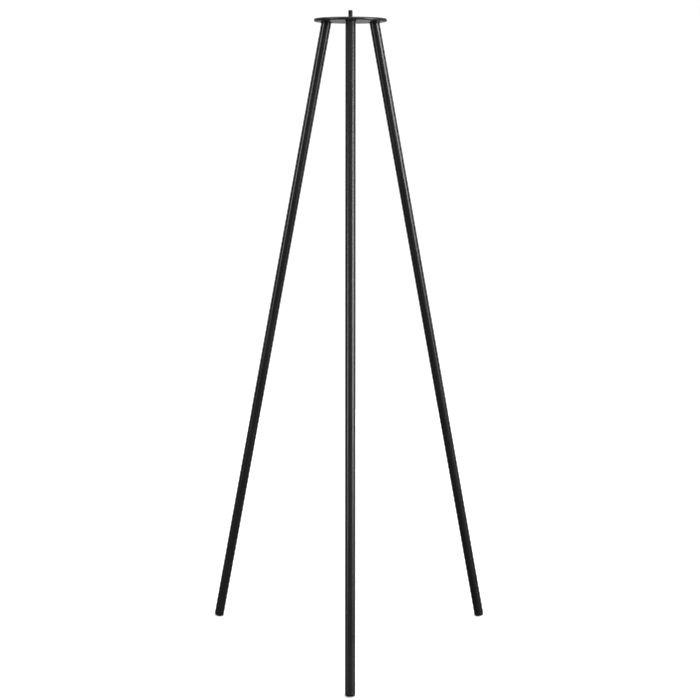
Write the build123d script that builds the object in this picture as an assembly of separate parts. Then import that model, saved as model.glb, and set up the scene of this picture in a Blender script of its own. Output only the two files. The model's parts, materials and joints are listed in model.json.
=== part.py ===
"""Take-down steel tripod stand: a round head plate with an upright bolt on three splayed legs.

Each leg is three tubes that push together end to end, and it pushes on to a short spigot welded
under the plate. Millimetres, +Z up. The origin is on the ground, straight below the head's centre.
"""
from build123d import *
import math
import os

# Head plate
plate_diameter = 165.1
plate_thickness = 6.35
rim_radius = 2.6            # rounding of the plate's rim, above and below
leg_inset = 19.05           # from the rim to each leg's axis, at the plate's underside

# Upright bolt, put through the plate from below
thread_diameter = 9.525     # 3/8 inch
bolt_length = 25.4          # under the head
bolt_point = 1.0            # chamfer at the tip
shoulder_diameter = 10.2    # the plain shank inside the plate, a little thicker than the thread
shoulder_clearance = 0.15   # all round, in the plate's hole
head_across_flats = 14.29
head_height = 5.95
head_chamfer = 1.0
bolt_weld_width = 2.6       # beyond the corners of the bolt's head
bolt_weld_height = 2.4
bolt_weld_rounding = 1.8

# Legs
splay = 12.2                # degrees from the vertical
leg_azimuths = {"front": -90.0, "right": 30.0, "left": 150.0}
tube_diameter = 22.225      # 7/8 inch
tube_wall = 1.245
slip_clearance = 0.08       # all round, between a tube's bore and what it pushes on to
upper_length = 500.0        # what shows of each tube
middle_length = 500.0
lower_length = 480.0
insert_length = 50.0        # the narrowed end of a tube, inside the tube above
insert_point = 1.2          # lead-in at its tip
swage_length = 6.0          # where the narrowed end's bore opens out to the tube's own
seam_chamfer = 0.45         # on the outer edges that meet at each seam
mouth_chamfer = 0.35        # on the inner edge of each tube's lower mouth

# Spigots and the welds that hold them
spigot_length = 45.0        # below the plate, along the leg
spigot_wall = 2.4
spigot_point = 1.2
spigot_weld_width = 2.0     # beyond the leg tube's own outside
spigot_weld_height = 2.2    # the tube's top rests on this weld
spigot_weld_rounding = 1.6

# Foot plugs
plug_height = 9.5           # what shows below the tube, at its middle
crown_radius = 26.0         # the foot's end is a shallow crown
sole_radius = 3.6           # rounding between the crown and the plug's side
plug_depth = 20.0           # inside the tube
plug_core_gap = 0.6         # all round, between the plug's core and the bore
plug_wall = 2.6
barb_count = 3
barb_height = 3.0
barb_squeeze = 0.05         # how far a barb's crest is pressed into the bore, all round

tube_radius = tube_diameter / 2
bore_radius = tube_radius - tube_wall
slip_radius = bore_radius - slip_clearance
slip_bore_radius = slip_radius - tube_wall
head_corner_radius = head_across_flats / 2 / math.cos(math.radians(30))
sin_splay = math.sin(math.radians(splay))
cos_splay = math.cos(math.radians(splay))

# Distances along a leg's axis, down from the plate's underside
upper_top = spigot_weld_height / cos_splay
upper_seam = upper_top + upper_length
lower_seam = upper_seam + middle_length
tube_end = lower_seam + lower_length
leg_tip = tube_end + plug_height

# The lowest point of a leaning foot is on its crown, and it stands on the ground
underside = (leg_tip - crown_radius) * cos_splay + crown_radius
leg_circle_radius = plate_diameter / 2 - leg_inset
beyond = 2 * tube_diameter  # how far cutting solids reach past what they cut


def turned(*profile):
    """A solid turned about the Z axis from (radius, height) points."""
    outline = make_face(Polyline(*profile, close=True))
    return revolve(Plane.XZ * outline, axis=Axis.Z)


def leg_frame(distance):
    """A place on the axis of a leg that leans towards +X: its own +Z runs up the leg."""
    origin = (leg_circle_radius + distance * sin_splay, 0, underside - distance * cos_splay)
    return Plane(origin, x_dir=(cos_splay, 0, sin_splay), z_dir=(-sin_splay, 0, cos_splay)).location


def above(height):
    """A block that fills the space round a leg's top, above a level."""
    block = Box(2 * beyond, 2 * beyond, beyond, align=(Align.CENTER, Align.CENTER, Align.MIN))
    return Pos(leg_circle_radius, 0, height) * block


def head_plate():
    plate = Cylinder(plate_diameter / 2, plate_thickness, align=(Align.CENTER, Align.CENTER, Align.MIN))
    plate = fillet(plate.edges(), rim_radius)
    hole_radius = shoulder_diameter / 2 + shoulder_clearance
    return Pos(0, 0, underside) * (plate - Cylinder(hole_radius, 3 * plate_thickness))


def hexagon_below(height):
    """The bolt head's hexagon, from the plate's underside down."""
    outline = RegularPolygon(head_across_flats / 2, 6, major_radius=False)
    return Pos(0, 0, -height) * extrude(outline, height)


def center_bolt():
    cone_height = head_chamfer / math.sqrt(3)
    envelope = turned(
        (0, 0),
        (head_corner_radius + head_chamfer, 0),
        (head_corner_radius + head_chamfer, cone_height - head_height),
        (head_corner_radius - head_chamfer, -head_height - cone_height),
        (0, -head_height - cone_height),
    )
    shoulder_radius, thread_radius = shoulder_diameter / 2, thread_diameter / 2
    shank = turned(
        (0, -head_height / 2),
        (shoulder_radius, -head_height / 2),
        (shoulder_radius, plate_thickness),
        (thread_radius, plate_thickness),
        (thread_radius, bolt_length - bolt_point),
        (thread_radius - bolt_point, bolt_length),
        (0, bolt_length),
    )
    return Pos(0, 0, underside) * ((hexagon_below(head_height) & envelope) + shank)


def bolt_weld():
    ring_radius = head_corner_radius + bolt_weld_width
    ring = Cylinder(ring_radius, bolt_weld_height, align=(Align.CENTER, Align.CENTER, Align.MAX))
    ring = fillet(ring.edges().sort_by(Axis.Z)[0], bolt_weld_rounding)
    return Pos(0, 0, underside) * (ring - hexagon_below(2 * bolt_weld_height))


def spigot():
    outer, inner = slip_radius, slip_radius - spigot_wall
    body = turned(
        (inner, -spigot_length),
        (outer - spigot_point / 2, -spigot_length),
        (outer, -spigot_length + spigot_point),
        (outer, beyond / 2),
        (inner, beyond / 2),
    )
    return leg_frame(0) * body - above(underside)


def spigot_weld():
    """A bead round the spigot, as high as the gap between the plate and the leg tube's top."""
    bead = leg_frame(0) * Cylinder(tube_radius + spigot_weld_width, beyond)
    bead = bead - above(underside)
    bead = bead - Pos(0, 0, -beyond - spigot_weld_height) * above(underside)
    bead = fillet(bead.edges().sort_by(Axis.Z)[0], spigot_weld_rounding)
    return bead - leg_frame(0) * Cylinder(slip_radius, 2 * beyond)


def upper_tube():
    """Plain at both ends. Its top is cut level, to sit under the plate on the spigot's weld."""
    body = turned(
        (bore_radius + mouth_chamfer, -upper_length),
        (tube_radius - seam_chamfer, -upper_length),
        (tube_radius, -upper_length + seam_chamfer),
        (tube_radius, beyond / 2),
        (bore_radius, beyond / 2),
        (bore_radius, -upper_length + mouth_chamfer),
    )
    return leg_frame(upper_top) * body - above(underside - spigot_weld_height)


def swaged_tube(top, length):
    """A tube whose top end is narrowed, so that the tube above pushes down over it to a shoulder."""
    body = turned(
        (bore_radius + mouth_chamfer, -length),
        (tube_radius - seam_chamfer, -length),
        (tube_radius, -length + seam_chamfer),
        (tube_radius, -seam_chamfer),
        (tube_radius - seam_chamfer, 0),
        (slip_radius, 0),
        (slip_radius, insert_length - insert_point),
        (slip_radius - insert_point / 2, insert_length),
        (slip_bore_radius, insert_length),
        (slip_bore_radius, swage_length / 6),
        (bore_radius, -swage_length * 5 / 6),
        (bore_radius, -length + mouth_chamfer),
    )
    return leg_frame(top) * body


def crowned_sole():
    """The foot's outline, from its middle out over the crown and round the edge to the side."""
    turn = math.asin((tube_radius - sole_radius) / (crown_radius - sole_radius))
    half_turn, edge_turn = turn / 2, (turn + math.pi / 2) / 2
    crown_level = crown_radius - plug_height
    edge_level = crown_level - (crown_radius - sole_radius) * math.cos(turn)
    meeting = (crown_radius * math.sin(turn), crown_level - crown_radius * math.cos(turn))
    crown = ThreePointArc(
        (0, -plug_height),
        (crown_radius * math.sin(half_turn), crown_level - crown_radius * math.cos(half_turn)),
        meeting,
    )
    edge_middle = (
        tube_radius - sole_radius + sole_radius * math.sin(edge_turn),
        edge_level - sole_radius * math.cos(edge_turn),
    )
    return crown + ThreePointArc(meeting, edge_middle, (tube_radius, edge_level)), edge_level


def foot_plug():
    """A barbed plug, pressed into the lowest tube, with a rounded foot as wide as the tube."""
    core = bore_radius - plug_core_gap
    crest = bore_radius + barb_squeeze
    pitch = (plug_depth - barb_height) / barb_count
    sole, edge_level = crowned_sole()
    profile = [(tube_radius, edge_level), (tube_radius, 0), (core, 0)]
    for number in range(barb_count):
        shoulder = pitch * (number + 0.5)
        profile += [(core, shoulder), (crest, shoulder), (core, shoulder + barb_height)]
    profile += [(core, plug_depth), (core - plug_wall, plug_depth), (core - plug_wall, 0), (0, 0)]
    outline = sole + Polyline(*profile, (0, -plug_height))
    foot = revolve(Plane.XZ * make_face(outline), axis=Axis.Z)
    return leg_frame(tube_end) * foot


def build():
    nodes = {"head_plate": head_plate(), "center_bolt": center_bolt(), "bolt_weld": bolt_weld()}
    leg_pieces = {
        "spigot": spigot(),
        "spigot_weld": spigot_weld(),
        "upper_tube": upper_tube(),
        "middle_tube": swaged_tube(upper_seam, middle_length),
        "lower_tube": swaged_tube(lower_seam, lower_length),
        "foot_plug": foot_plug(),
    }
    for side, azimuth in leg_azimuths.items():
        for name, piece in leg_pieces.items():
            nodes[f"{side}_{name}"] = Rot(0, 0, azimuth) * piece
    return nodes


os.makedirs("parts", exist_ok=True)
for name, piece in build().items():
    solid = piece.solids()[0] if len(piece.solids()) == 1 else piece
    export_step(solid, f"parts/{name}.step")
print(f"plate underside {underside:.3f}, top {underside + plate_thickness:.3f}")
print(f"leg circle radius {leg_circle_radius:.3f}, leg tip {leg_tip:.3f} down the axis")
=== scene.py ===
"""Visual model of the take-down tripod stand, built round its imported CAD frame. Metres, +Z up."""

import json
import math

import bmesh
import bpy
from mathutils import Matrix, Vector, noise


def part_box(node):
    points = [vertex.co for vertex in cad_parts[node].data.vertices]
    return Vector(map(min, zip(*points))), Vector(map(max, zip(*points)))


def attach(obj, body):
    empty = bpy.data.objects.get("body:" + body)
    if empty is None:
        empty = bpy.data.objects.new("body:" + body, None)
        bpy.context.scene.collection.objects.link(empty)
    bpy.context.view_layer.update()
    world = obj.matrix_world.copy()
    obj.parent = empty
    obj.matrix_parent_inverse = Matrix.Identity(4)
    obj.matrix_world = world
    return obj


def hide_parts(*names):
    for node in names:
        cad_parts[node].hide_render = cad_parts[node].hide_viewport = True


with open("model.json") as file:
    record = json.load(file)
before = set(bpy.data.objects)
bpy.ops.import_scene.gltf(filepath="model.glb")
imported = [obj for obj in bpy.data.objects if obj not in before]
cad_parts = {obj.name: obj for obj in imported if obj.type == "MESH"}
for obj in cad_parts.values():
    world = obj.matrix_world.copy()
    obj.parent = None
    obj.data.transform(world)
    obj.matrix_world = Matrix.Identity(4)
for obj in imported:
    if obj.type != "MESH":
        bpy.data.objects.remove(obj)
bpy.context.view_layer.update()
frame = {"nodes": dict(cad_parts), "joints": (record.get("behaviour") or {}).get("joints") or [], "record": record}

# ---------------------------------------------------------------- sizes read from the frame

MM = 0.001
SIDES = ("front", "right", "left")

plate_low, plate_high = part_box("head_plate")
plate_radius = (plate_high.x - plate_low.x) / 2
bolt_low, bolt_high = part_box("center_bolt")
weld_low, weld_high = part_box("bolt_weld")
stud = next(mount for mount in frame["record"]["mounts"] if mount["kind"] == "pin")
stud_radius = stud["dims"]["r_mm"] * MM


def node_points(node):
    return [vertex.co.copy() for vertex in frame["nodes"][node].data.vertices]


def span(points, direction):
    reach = [point.dot(direction) for point in points]
    return min(reach), max(reach)


class Leg:
    """One leg's axis: where it meets the plate's underside, its way down, out and across."""

    def __init__(self, side):
        self.side = side
        slide = next(joint for joint in frame["joints"] if joint["child"] == f"{side}_middle")
        self.down = Vector(slide["axis"]).normalized()
        self.outward = Vector((self.down.x, self.down.y, 0)).normalized()
        self.across = Vector((-self.outward.y, self.outward.x, 0))
        # the axis runs midway between the middle tube's sides, measured both ways square to the leg
        upright = self.across.cross(self.down)
        points = node_points(f"{side}_middle_tube")
        middle = Vector((0, 0, 0))
        for direction in (self.across, upright):
            middle += sum(span(points, direction)) / 2 * direction
        self.top = middle + self.down * ((plate_low.z - middle.z) / self.down.z)
        self.start = self.top.dot(self.down)

    def distances(self, node):
        """How far down the leg a node starts and ends, from the plate's underside."""
        low, high = span(node_points(node), self.down)
        return low - self.start, high - self.start


legs = {side: Leg(side) for side in SIDES}

# ---------------------------------------------------------------- node material helpers


class Shader:
    """A material's node tree, with short calls for the nodes that the finishes share."""

    def __init__(self, name):
        self.material = bpy.data.materials.new(name)
        self.material.use_nodes = True
        self.tree = self.material.node_tree
        self.bsdf = self.tree.nodes["Principled BSDF"]
        self.place = self.add("ShaderNodeTexCoord").outputs["Object"]

    def add(self, kind, **settings):
        node = self.tree.nodes.new(kind)
        for key, value in settings.items():
            setattr(node, key, value)
        return node

    def put(self, value, socket):
        """Link an output to a socket, or set the socket to a plain value."""
        if isinstance(value, bpy.types.NodeSocket):
            self.tree.links.new(value, socket)
        else:
            socket.default_value = value

    def surface(self, **values):
        for name, value in values.items():
            self.put(value, self.bsdf.inputs[name.replace("_", " ")])

    def math(self, operation, first, second=0.0):
        node = self.add("ShaderNodeMath", operation=operation)
        self.put(first, node.inputs[0])
        self.put(second, node.inputs[1])
        return node.outputs[0]

    def noise(self, scale, detail=2.0, roughness=0.5, place=None):
        node = self.add("ShaderNodeTexNoise")
        self.put(scale, node.inputs["Scale"])
        self.put(detail, node.inputs["Detail"])
        self.put(roughness, node.inputs["Roughness"])
        self.put(place or self.place, node.inputs["Vector"])
        return node.outputs["Fac"]

    def spread(self, value, low, high, to_low=0.0, to_high=1.0):
        """value, with low..high mapped to to_low..to_high and held there beyond."""
        node = self.add("ShaderNodeMapRange", clamp=True)
        for socket, number in zip(node.inputs[:5], (value, low, high, to_low, to_high)):
            self.put(number, socket)
        return node.outputs["Result"]

    def mix(self, factor, first, second):
        """Between two numbers, or between two colours, which have their own sockets on the node."""
        colors = isinstance(second, tuple)
        node = self.add("ShaderNodeMix", data_type="RGBA" if colors else "FLOAT")
        first_input = 6 if colors else 2
        self.put(factor, node.inputs[0])
        self.put(first, node.inputs[first_input])
        self.put(second, node.inputs[first_input + 1])
        return node.outputs[2 if colors else 0]

    def along(self, axis, start=0.0):
        """Distance along an axis from a start value."""
        node = self.add("ShaderNodeVectorMath", operation="DOT_PRODUCT")
        self.put(self.place, node.inputs[0])
        self.put(axis, node.inputs[1])
        return self.math("SUBTRACT", node.outputs["Value"], start)

    def from_middle(self):
        """Distance from the stand's upright axis."""
        flat = self.add("ShaderNodeVectorMath", operation="MULTIPLY")
        self.put(self.place, flat.inputs[0])
        self.put((1, 1, 0), flat.inputs[1])
        length = self.add("ShaderNodeVectorMath", operation="LENGTH")
        self.put(flat.outputs[0], length.inputs[0])
        return length.outputs["Value"]

    def bump(self, height, strength, distance):
        node = self.add("ShaderNodeBump")
        self.put(strength, node.inputs["Strength"])
        self.put(distance, node.inputs["Distance"])
        self.put(height, node.inputs["Height"])
        self.surface(Normal=node.outputs["Normal"])


# ---------------------------------------------------------------- finishes

BLACK = (0.0160, 0.0160, 0.0160, 1)
BLACK_WORN = (0.030, 0.029, 0.029, 1)
RUBBED_THIN = (0.085, 0.082, 0.078, 1)
BARE_STEEL = (0.30, 0.29, 0.28, 1)
PLASTIC_BLACK = (0.012, 0.012, 0.012, 1)
PLASTIC_SCUFFED = (0.045, 0.044, 0.042, 1)
COAT_ROUGHNESS = 0.30
RIM_ROUGHNESS = 0.38        # of the plate's rim, where it has been handled
BARE_ROUGHNESS = 0.34       # of steel rubbed bare
STREAKS = (1500, 1500, 11)  # noise to a metre, across the leg both ways and along it
SCUFFED_HEIGHT = 3 * MM     # above the ground, on the feet

# Two distances each: where wear begins and where it is full, or where it starts to fade and ends
RIM_WEAR = (2.4 * MM, 1.2 * MM)       # in from the plate's rim
CREST_WEAR = (0.16 * MM, 0.02 * MM)   # in from the thread's crest
LIP_FADE = (0.2 * MM, 0.7 * MM)       # away from a tube's edge
SLIDE_WEAR = (-1 * MM, 4 * MM)        # from the start of a stretch that slides
SLIDE_FADE = (-3 * MM, -0.5 * MM)     # from its end


def sliding_wear(shader, leg, first, last):
    """Where bare steel shows, in streaks along the leg, between two distances down it."""
    reach = shader.along(leg.down, leg.start)
    begun = shader.spread(reach, *(first + offset for offset in SLIDE_WEAR))
    ended = shader.spread(reach, *(last + offset for offset in SLIDE_FADE), 1.0, 0.0)
    lay = shader.add("ShaderNodeMapping")
    shader.put(shader.place, lay.inputs["Vector"])
    shader.put(leg.down.to_track_quat("Z", "Y").inverted().to_euler(), lay.inputs["Rotation"])
    shader.put(STREAKS, lay.inputs["Scale"])
    streaks = shader.spread(shader.noise(1.0, 3.0, 0.55, lay.outputs["Vector"]), 0.46, 0.66)
    patches = shader.spread(shader.noise(95.0, 2.0), 0.35, 0.62, 0.25, 1.0)
    inside = shader.math("MULTIPLY", begun, ended)
    return shader.math("MULTIPLY", inside, shader.math("MULTIPLY", streaks, patches))


def lip_wear(shader, leg, lips):
    """Where the coat is rubbed thin, close to the edges that meet at a seam."""
    reach = shader.along(leg.down, leg.start)
    patches = shader.spread(shader.noise(1500.0, 3.0, 0.6), 0.44, 0.60)
    worn = 0.0
    for lip in lips:
        away = shader.math("ABSOLUTE", shader.math("SUBTRACT", reach, lip))
        worn = shader.math("MAXIMUM", shader.spread(away, *LIP_FADE, 1.0, 0.0), worn)
    return shader.math("MULTIPLY", worn, patches)


def powder_coat(name, leg=None, lips=(), rubbed=None, rim=None):
    """Satin black powder coat: orange peel, faint clouds of gloss, and wear where pieces rub.

    lips are distances down the leg, rubbed is a stretch of it, and rim is the radius of a rim
    that is worn dull."""
    shader = Shader(name)
    clouds = shader.noise(9.0, 3.0, 0.55)
    dust = shader.noise(85.0, 4.0, 0.65)
    color = shader.mix(shader.spread(clouds, 0.35, 0.7, 0.0, 0.35), BLACK, BLACK_WORN)
    roughness = shader.spread(clouds, 0.3, 0.7, COAT_ROUGHNESS - 0.03, COAT_ROUGHNESS + 0.05)
    roughness = shader.math("ADD", roughness, shader.spread(dust, 0.5, 0.8, 0.0, 0.08))
    if rim:
        edge = shader.spread(shader.from_middle(), *(rim - inset for inset in RIM_WEAR))
        scuffs = shader.math("MULTIPLY", edge, shader.spread(shader.noise(160.0, 4.0, 0.7), 0.5, 0.62))
        color = shader.mix(scuffs, color, BLACK_WORN)
        roughness = shader.mix(edge, roughness, RIM_ROUGHNESS)
    if lips:
        color = shader.mix(lip_wear(shader, leg, lips), color, RUBBED_THIN)
    if rubbed:
        bare = sliding_wear(shader, leg, *rubbed)
        color = shader.mix(bare, color, BARE_STEEL)
        roughness = shader.mix(bare, roughness, BARE_ROUGHNESS)
        shader.surface(Metallic=bare)
    shader.surface(Base_Color=color, Roughness=roughness)
    peel = shader.noise(560.0, 2.0, 0.45)
    grain = shader.noise(3600.0, 1.0, 0.5)
    shader.bump(shader.math("ADD", peel, shader.math("MULTIPLY", grain, 0.22)), 0.18, 0.4 * MM)
    return shader.material


def painted_thread(name):
    """Black paint on a rolled thread, thin on the crests."""
    shader = Shader(name)
    blotch = shader.noise(420.0, 3.0, 0.6)
    crest = shader.spread(shader.from_middle(), *(stud_radius - inset for inset in CREST_WEAR))
    thin = shader.math("MULTIPLY", crest, shader.spread(blotch, 0.40, 0.60, 0.1, 0.7))
    color = shader.mix(shader.spread(blotch, 0.5, 0.75, 0.0, 0.6), BLACK, BLACK_WORN)
    shader.surface(
        Base_Color=shader.mix(thin, color, RUBBED_THIN),
        Roughness=shader.spread(blotch, 0.35, 0.7, 0.30, 0.46),
    )
    shader.bump(shader.noise(2600.0), 0.12, 0.2 * MM)
    return shader.material


def painted_weld(name):
    """Weld metal under the same paint: pitted, with a rougher skin."""
    shader = Shader(name)
    pits = shader.noise(900.0, 4.0, 0.6)
    shader.surface(
        Base_Color=shader.mix(shader.spread(pits, 0.45, 0.75, 0.0, 0.5), BLACK, BLACK_WORN),
        Roughness=shader.spread(shader.noise(300.0), 0.3, 0.7, 0.30, 0.48),
    )
    shader.bump(pits, 0.35, 0.4 * MM)
    return shader.material


def moulded_plastic(name):
    """Matt black polyethylene: fine grain, scuffed grey where it meets the ground."""
    shader = Shader(name)
    low = shader.spread(shader.along((0, 0, 1)), 0.0, SCUFFED_HEIGHT, 1.0, 0.0)
    scuffs = shader.spread(shader.noise(380.0, 4.0, 0.7), 0.42, 0.62, 0.15, 1.0)
    worn = shader.math("MULTIPLY", low, scuffs)
    shader.surface(
        Base_Color=shader.mix(worn, PLASTIC_BLACK, PLASTIC_SCUFFED),
        Roughness=shader.spread(worn, 0.0, 1.0, 0.47, 0.72),
    )
    shader.bump(shader.noise(2400.0, 2.0, 0.6), 0.16, 0.25 * MM)
    return shader.material


def finish_node(node, material):
    """Give a CAD node its material."""
    piece = frame["nodes"][node]
    piece.data.materials.clear()
    piece.data.materials.append(material)


# ---------------------------------------------------------------- mesh helpers

SHARP_ANGLE = math.radians(38)   # faces that meet at more than this keep a sharp edge


def head_piece(name, rings, material, replaced, ends_meet=False):
    """A closed piece on the head, from rings of points joined one to the next.

    The last ring joins the first if ends_meet. Otherwise the first and last are filled."""
    mesh = bpy.data.meshes.new(name)
    count = len(rings[0])
    faces = []
    for ring in range(len(rings) if ends_meet else len(rings) - 1):
        here, there = ring * count, (ring + 1) % len(rings) * count
        for step in range(count):
            after = (step + 1) % count
            faces.append((here + step, here + after, there + after, there + step))
    if not ends_meet:
        faces.append(range(count))
        faces.append(range((len(rings) - 1) * count, len(rings) * count))
    mesh.from_pydata([point for ring in rings for point in ring], [], faces)
    shape = bmesh.new()
    shape.from_mesh(mesh)
    bmesh.ops.recalc_face_normals(shape, faces=shape.faces)
    shape.to_mesh(mesh)
    shape.free()
    mesh.shade_smooth()
    mesh.set_sharp_from_angle(angle=SHARP_ANGLE)
    mesh.materials.append(material)
    piece = bpy.data.objects.new(name, mesh)
    bpy.context.scene.collection.objects.link(piece)
    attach(piece, "head")
    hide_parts(replaced)


def smooth_step(value):
    value = max(0.0, min(1.0, value))
    return value * value * (3 - 2 * value)


def on_circle(angle, radius, height):
    return Vector((radius * math.cos(angle), radius * math.sin(angle), height))


# ---------------------------------------------------------------- the threaded bolt

HEX_SECTOR = math.tau / 6
hex_flat_radius = (bolt_high.y - bolt_low.y) / 2
hex_corner_radius = hex_flat_radius / math.cos(HEX_SECTOR / 2)
HEX_DISH = ((0.25 * MM, 0.30), (0.10 * MM, 0.72), (0.0, 0.90))   # rise, and share of the flats' radius
HEX_FACE = 0.93                      # of the flats' radius, where the chamfer begins
HEX_CHAMFER = 0.9 * MM
HEX_CHAMFER_RINGS = 4
SHOULDER_RADIUS = 5.1 * MM
BOLT_POINT = 1.0 * MM
BOLT_TIP = 0.35                      # of the stud's radius, the last ring's
THREAD_PITCH = 25.4 / 16 * MM
THREAD_DEPTH = 0.46 * THREAD_PITCH   # the coat has part filled the roots
THREAD_RUNOUT = 1.2 * THREAD_PITCH   # where the thread grows out of the shoulder
THREAD_CREST = 0.14                  # of a pitch, the flat crest's width
THREAD_FLANKS = 0.80                 # and the two flanks' together
THREAD_AROUND = 120
THREAD_RINGS = 16                    # to one pitch


def hexagon_radius(angle, limit):
    """How far out the bolt's head reaches, with its corners cut to a limit by the chamfer."""
    return min(hex_flat_radius / math.cos(angle % HEX_SECTOR - HEX_SECTOR / 2), limit)


def thread_radius(angle, height):
    """A rolled thread: narrow crests and rounded roots, with its runout below and its point on top."""
    phase = (height / THREAD_PITCH - angle / math.tau) % 1.0
    from_crest = abs(phase - 0.5) * 2
    depth = THREAD_DEPTH * smooth_step((from_crest - THREAD_CREST) / THREAD_FLANKS)
    depth *= smooth_step((height - plate_high.z) / THREAD_RUNOUT)
    point = stud_radius - BOLT_POINT + max(0.0, bolt_high.z - height)
    return min(stud_radius - depth, point)


def threaded_bolt():
    """Hexagon head below the plate, plain shoulder through it, and the thread that stands above."""
    angles = [math.tau * step / THREAD_AROUND for step in range(THREAD_AROUND)]
    rings = []

    def ring(height, radius):
        """One ring, from a radius or from a function that gives it at each angle."""
        radii = [radius(angle) if callable(radius) else radius for angle in angles]
        rings.append([on_circle(angle, reach, height) for angle, reach in zip(angles, radii)])

    # the underside of the head, dished a little inside its chamfer
    for rise, share in HEX_DISH:
        ring(bolt_low.z + rise, hex_flat_radius * share)
    face_radius = hex_flat_radius * HEX_FACE
    for number in range(HEX_CHAMFER_RINGS):
        share = (number + 1) / HEX_CHAMFER_RINGS
        limit = face_radius + (hex_corner_radius - face_radius) * share
        ring(bolt_low.z + HEX_CHAMFER * share, lambda angle: hexagon_radius(angle, limit))
    ring(plate_low.z, lambda angle: hexagon_radius(angle, hex_corner_radius))
    ring(plate_low.z, SHOULDER_RADIUS)
    ring(plate_high.z, SHOULDER_RADIUS)
    length = bolt_high.z - plate_high.z
    steps = round(length / THREAD_PITCH * THREAD_RINGS)
    for step in range(steps + 1):
        height = plate_high.z + length * step / steps
        ring(height, lambda angle: thread_radius(angle, height))
    ring(bolt_high.z, stud_radius * BOLT_TIP)
    head_piece("threaded_bolt", rings, painted_thread("black_thread"), "center_bolt")


# ---------------------------------------------------------------- weld beads

BEAD_AROUND = 288
BEAD_ACROSS = 14
PUDDLE_LENGTH = 2.3 * MM    # from one puddle of the bead to the next
PUDDLE_LAP = 0.55           # of a puddle, how far its middle runs ahead of its edges
BULGE = 0.8                 # the power that swells the bead's section out of a plain ellipse
BITE = 0.2 * MM             # how far a bead sinks into the plate and into what it holds
BOLT_BEAD_SEED = 7.5        # where in the noise each bead's unevenness is taken from
LEG_BEAD_SEED = 1.0         # the first leg's, with one more for each leg after it


def weld_bead(name, inner, outer, depth, seed, replaced, material):
    """A fillet bead under the plate, laid in overlapping puddles that lap forward at its middle.

    inner(angle, drop) and outer(angle, drop) give points on the piece that it holds and at its
    outer edge, at a drop below the plate."""
    center = sum((outer(math.pi * step / 2, 0.0) for step in range(4)), Vector((0, 0, 0))) / 4
    puddles = round(math.tau * (outer(0.0, 0.0) - center).length / PUDDLE_LENGTH)
    rings = []
    for step in range(BEAD_AROUND):
        angle = math.tau * step / BEAD_AROUND
        swing = noise.noise(Vector((1.7 * math.cos(angle), 1.7 * math.sin(angle), seed)))
        ring = []
        for part in range(BEAD_ACROSS + 1):
            share = part / BEAD_ACROSS
            phase = (angle / math.tau * puddles + PUDDLE_LAP * math.sin(share * math.pi)) % 1.0
            puddle = math.sqrt(1 - 0.9 * (2 * phase - 1) ** 2)
            turn = share * math.pi / 2
            reach = max(0.0, math.cos(turn)) ** BULGE * (0.86 + 0.12 * puddle + 0.05 * swing)
            drop = math.sin(turn) ** BULGE * (0.90 + 0.08 * puddle + 0.02 * swing)
            drop = depth * min(0.985, drop)
            ring.append(inner(angle, drop).lerp(outer(angle, drop), min(1.0, reach)))
        into_piece = (inner(angle, 0.0) - outer(angle, 0.0)).normalized() * BITE
        into_plate = Vector((0, 0, BITE))
        ring.append(ring[-1] + into_piece)
        ring.append(inner(angle, 0.0) + into_piece + into_plate)
        ring.append(ring[0] + into_plate)
        rings.append(ring)
    head_piece(name, rings, material, replaced, ends_meet=True)


def leg_bead(leg, seed, material):
    """The bead round a spigot. The leg tube's top sits right below it."""
    low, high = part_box(f"{leg.side}_spigot_weld")
    spigot_radius = span(node_points(f"{leg.side}_spigot"), leg.across)[1]
    bead_radius = span(node_points(f"{leg.side}_spigot_weld"), leg.across)[1]
    stretch = -1 / leg.down.z

    def around(angle, drop, radius):
        """A point of the oval that a level cuts from a cylinder of that radius on the leg's axis."""
        flat = Vector((math.cos(angle), math.sin(angle), 0))
        flat += leg.outward * flat.dot(leg.outward) * (stretch - 1)
        return leg.top + leg.down * (drop * stretch) + flat * radius

    weld_bead(
        f"{leg.side}_weld_bead",
        lambda angle, drop: around(angle, drop, spigot_radius),
        lambda angle, drop: around(angle, drop, bead_radius),
        high.z - low.z,
        seed,
        f"{leg.side}_spigot_weld",
        material,
    )


def bolt_bead(seed, material):
    """The bead round the bolt's head."""
    bead_radius = (weld_high.x - weld_low.x) / 2

    def on_hexagon(angle, drop):
        return on_circle(angle, hexagon_radius(angle, hex_corner_radius), plate_low.z - drop)

    weld_bead(
        "bolt_weld_bead",
        on_hexagon,
        lambda angle, drop: on_circle(angle, bead_radius, plate_low.z - drop),
        weld_high.z - weld_low.z,
        seed,
        "bolt_weld",
        material,
    )


# ---------------------------------------------------------------- camera, lights and floor

SENSOR = 36.0
LENS = 82.04
CAMERA_PLACE = Vector((0.0003, -3.6914, 1.2549))
CAMERA_AZIMUTH = math.radians(-0.266)
CAMERA_DIP = math.radians(8.472)
CAMERA_ROLL = math.radians(0.100)
BACKDROP_LIGHT = 1.02       # what the camera sees behind the stand
FLOOR_REACH = 40.0
FLOOR_NEAR, FLOOR_FAR = 0.4, 3.0    # from the stand's middle
FLOOR_GLOW_NEAR = 0.60      # lifts the lit floor to the backdrop's white, round the stand
FLOOR_GLOW_FAR = 0.80       # and further out, where less of the lamps' light falls
ROOM_LOW, ROOM_HIGH = 0.052, 0.30   # the room that the stand reflects, below and above
ROOM_RISE = (-0.10, 0.45)   # where it brightens, if 0 is level and 1 is straight up
TONES = ((0.05, 0.047), (0.16, 0.155), (0.45, 0.30), (0.75, 0.60))   # light in, tone out
TONES_OF_ALL = 3            # the curve that holds for red, green and blue at once

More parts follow.
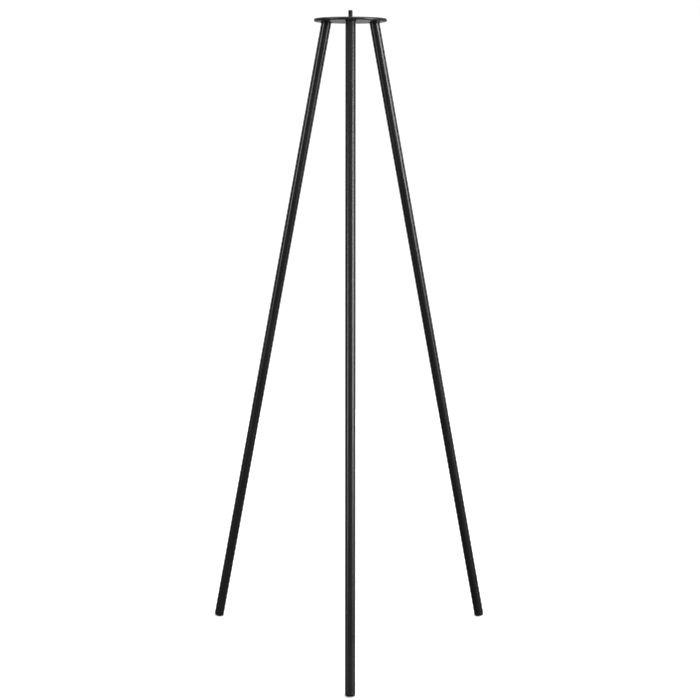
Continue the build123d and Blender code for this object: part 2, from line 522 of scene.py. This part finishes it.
# Each light's azimuth in degrees, distance, height, the height it aims at, its two sizes and watts
SOFT_BOXES = {
    "key_right": (64, 3.2, 1.60, 1.60, 0.75, 1.3, 98),
    "key_right_skirt": (64, 3.2, 0.50, 0.50, 0.75, 0.9, 6),
    "fill_left": (-60, 3.6, 1.27, 1.27, 0.75, 1.3, 33),
    "fill_left_skirt": (-60, 3.6, 0.40, 0.40, 0.75, 0.6, 3),
    "floor_glow_right": (64, 2.6, -0.65, 0.5, 1.6, 1.1, 1.2),
    "floor_glow_left": (-60, 2.6, -0.65, 0.5, 1.6, 1.1, 0.8),
    "overhead": (0, 0.6, 3.6, 0.6, 2.6, 2.6, 36),
    "backdrop_glow": (180, 3.0, 1.2, 1.2, 3.2, 2.4, 14),
}


def camera():
    data = bpy.data.cameras.new("camera")
    data.lens = LENS
    data.sensor_width = SENSOR
    data.clip_end = 5 * FLOOR_REACH
    view = bpy.data.objects.new("camera", data)
    around = Matrix.Rotation(CAMERA_AZIMUTH, 4, "Z")
    dip = Matrix.Rotation(math.pi / 2 - CAMERA_DIP, 4, "X")
    roll = Matrix.Rotation(CAMERA_ROLL, 4, "Z")
    view.matrix_world = around @ Matrix.Translation(CAMERA_PLACE) @ dip @ roll
    bpy.context.scene.collection.objects.link(view)
    bpy.context.scene.camera = view


def soft_light(name, azimuth, distance, height, aim_height, width, rise, watts):
    """A soft box. Azimuth 0 is the camera's side, and positive goes to its right."""
    data = bpy.data.lights.new(name, "AREA")
    data.shape = "RECTANGLE"
    data.size, data.size_y = width, rise
    data.energy = watts
    light = bpy.data.objects.new(name, data)
    light.visible_camera = False
    turn = math.radians(azimuth)
    place = Vector((math.sin(turn) * distance, -math.cos(turn) * distance, height))
    aim = Vector((0, 0, aim_height)) - place
    light.matrix_world = Matrix.Translation(place) @ aim.to_track_quat("-Z", "Y").to_matrix().to_4x4()
    bpy.context.scene.collection.objects.link(light)


def studio():
    """Two tall soft boxes with dimmer skirts, their glow off the floor, and light above and behind."""
    for name, numbers in SOFT_BOXES.items():
        soft_light(name, *numbers)


def room():
    """A white backdrop, and a dim room, brighter above, that the black finish reflects instead."""
    world = bpy.data.worlds.new("studio")
    bpy.context.scene.world = world
    world.use_nodes = True
    nodes, links = world.node_tree.nodes, world.node_tree.links
    reflected = nodes["Background"]
    backdrop = nodes.new("ShaderNodeBackground")
    backdrop.inputs["Strength"].default_value = BACKDROP_LIGHT
    for shade in (reflected, backdrop):
        shade.inputs["Color"].default_value = (1, 1, 1, 1)
    height = nodes.new("ShaderNodeSeparateXYZ")
    links.new(nodes.new("ShaderNodeTexCoord").outputs["Generated"], height.inputs[0])
    rise = nodes.new("ShaderNodeMapRange")
    rise.interpolation_type = "SMOOTHSTEP"
    links.new(height.outputs["Z"], rise.inputs["Value"])
    for socket, value in zip(rise.inputs[1:5], (*ROOM_RISE, ROOM_LOW, ROOM_HIGH)):
        socket.default_value = value
    links.new(rise.outputs["Result"], reflected.inputs["Strength"])
    chosen = nodes.new("ShaderNodeMixShader")
    links.new(nodes.new("ShaderNodeLightPath").outputs["Is Camera Ray"], chosen.inputs[0])
    links.new(reflected.outputs[0], chosen.inputs[1])
    links.new(backdrop.outputs[0], chosen.inputs[2])
    links.new(chosen.outputs[0], nodes["World Output"].inputs["Surface"])


def print_tones():
    """The tones of a plain print: blacks and white stay, and the light greys of thin edges darken."""
    view = bpy.context.scene.view_settings
    view.view_transform = "Standard"
    view.use_curve_mapping = True
    tones = view.curve_mapping.curves[TONES_OF_ALL]
    for place, value in TONES:
        tones.points.new(place, value)
    view.curve_mapping.update()


def floor():
    """A pale floor that only the camera sees, so that it lights nothing from below."""
    shader = Shader("pale_floor")
    shader.surface(
        Base_Color=shader.mix(shader.noise(3.0), (0.80, 0.80, 0.80, 1), (0.83, 0.83, 0.83, 1)),
        Roughness=0.75,
        Emission_Color=(1, 1, 1, 1),
        Emission_Strength=shader.spread(
            shader.from_middle(), FLOOR_NEAR, FLOOR_FAR, FLOOR_GLOW_NEAR, FLOOR_GLOW_FAR
        ),
    )
    mesh = bpy.data.meshes.new("floor")
    corners = [(FLOOR_REACH * x, FLOOR_REACH * y, 0) for x, y in ((-1, -1), (1, -1), (1, 1), (-1, 1))]
    mesh.from_pydata(corners, [], [(0, 1, 2, 3)])
    mesh.materials.append(shader.material)
    ground = bpy.data.objects.new("floor", mesh)
    ground.visible_glossy = False
    ground.visible_diffuse = False
    ground.visible_shadow = False
    bpy.context.scene.collection.objects.link(ground)


# ---------------------------------------------------------------- the object

SPIGOT_WEAR_TOP = 8 * MM    # below the plate, clear of the weld
SPIGOT_PAST_TIP = 2 * MM    # wear runs off the tip

finish_node("head_plate", powder_coat("plate_coat", rim=plate_radius))
weld_coat = painted_weld("weld_coat")
threaded_bolt()
bolt_bead(BOLT_BEAD_SEED, weld_coat)
for number, (side, leg) in enumerate(legs.items()):
    leg_bead(leg, LEG_BEAD_SEED + number, weld_coat)
    spigot_end = leg.distances(f"{side}_spigot")[1]
    gripped = (SPIGOT_WEAR_TOP, spigot_end + SPIGOT_PAST_TIP)
    coat = powder_coat(f"{side}_spigot_coat", leg, rubbed=gripped)
    finish_node(f"{side}_spigot", coat)
    seam = leg.distances(f"{side}_upper_tube")[1]
    coat = powder_coat(f"{side}_upper_coat", leg, lips=(seam,))
    finish_node(f"{side}_upper_tube", coat)
    for section in ("middle", "lower"):
        tube = f"{side}_{section}_tube"
        tip, mouth = leg.distances(tube)
        coat = powder_coat(f"{side}_{section}_coat", leg, lips=(seam, mouth), rubbed=(tip, seam))
        finish_node(tube, coat)
        seam = mouth
    finish_node(f"{side}_foot_plug", moulded_plastic(f"{side}_plug_plastic"))

camera()
room()
print_tones()
studio()
floor()
